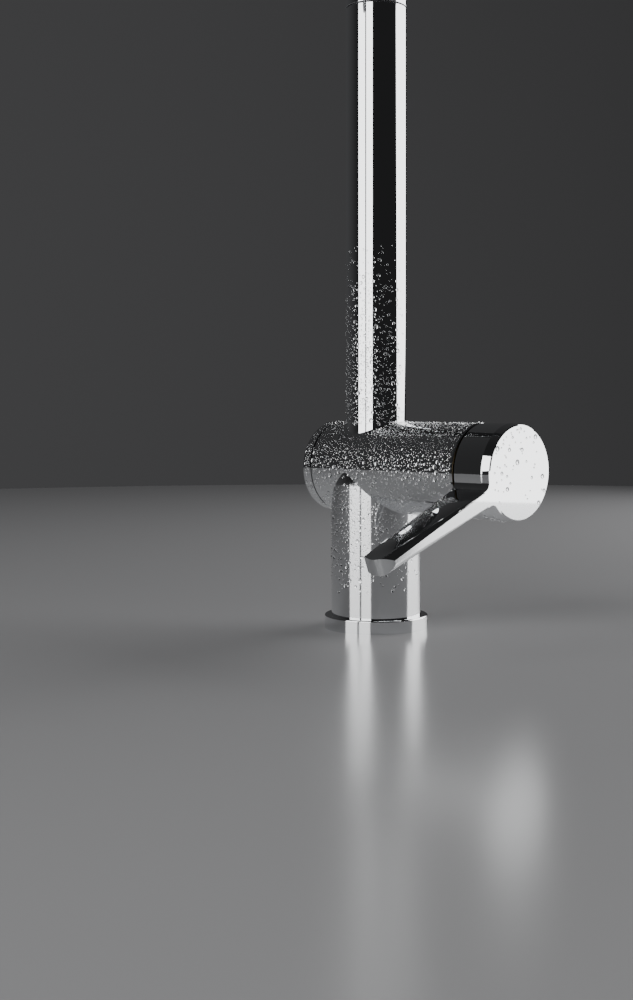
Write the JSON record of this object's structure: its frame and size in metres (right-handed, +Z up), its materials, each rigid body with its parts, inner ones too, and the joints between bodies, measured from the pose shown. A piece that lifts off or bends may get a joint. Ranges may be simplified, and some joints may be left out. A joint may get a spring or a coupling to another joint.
{
  "type": "water filter kitchen faucet",
  "caption": "Deck-mounted kitchen mixer with a tall swivel spout, a cross barrel with a flat side lever, a filter knob and a filter capsule in the riser.",
  "frame": {"origin": "centre of the base flange's underside, on the worktop's top face, on the axis of the shank and the riser", "axes": "+Z up along the riser; +X along the cross barrel towards the handle; -Y is the front, where the spout points at rest"},
  "size_m": [0.1282, 0.2026, 0.4491],
  "materials": {
    "chrome": "polished chrome plate",
    "brass": "machined brass",
    "steel": "plain stainless steel",
    "rubber": "matt black rubber",
    "dark_plastic": "dark grey moulded plastic",
    "white_plastic": "white moulded plastic",
    "clear_hose": "translucent plastic tube",
    "water": "clear water drops",
    "ceramic": "lapped white ceramic"
  },
  "bodies": {
    "fitting": {"tee_body": "chrome", "base_flange": "chrome", "base_seal": "rubber", "deck_shank": "brass", "deck_gasket": "rubber", "deck_washer": "steel", "deck_nut": "brass", "riser_tube": "chrome", "filter_feed_tube": "clear_hose", "capsule_seat": "white_plastic", "filter_capsule": "white_plastic", "capsule_seals": "rubber", "riser_adapter": "brass", "swivel_seals": "rubber", "slip_ring": "dark_plastic", "cartridge_housing": "dark_plastic", "cartridge_seals": "rubber", "fixed_disc": "ceramic", "cartridge_nut": "brass", "filter_valve": "brass", "valve_fixed_disc": "ceramic"},
    "spout": {"spout": "chrome", "swivel_bush": "dark_plastic", "spout_lock_screw": "steel", "spout_end_cap": "chrome", "aerator_sleeve": "chrome", "aerator_grille": "white_plastic", "filtered_tube": "clear_hose"},
    "handle": {"handle": "chrome", "handle_screw": "steel", "handle_plug": "dark_plastic", "cartridge_stem": "brass", "turning_disc": "ceramic"},
    "filter_knob": {"filter_knob": "chrome", "knob_screw": "steel", "filter_spindle": "brass", "valve_turning_disc": "ceramic"}
  },
  "joints": [
    {"name": "spout_swivel", "type": "hinge", "parent": "fitting", "child": "spout", "pos_m": [0, 0, 0.3256], "axis": [0, 0, 1], "range_deg": [-90, 90]},
    {"name": "handle_turn", "type": "hinge", "parent": "fitting", "child": "handle", "pos_m": [0, 0, 0.086], "axis": [1, 0, 0], "range_deg": [-90, 20]},
    {"name": "filter_knob_turn", "type": "hinge", "parent": "fitting", "child": "filter_knob", "pos_m": [0, 0, 0.086], "axis": [1, 0, 0], "range_deg": [0, 90]}
  ]
}
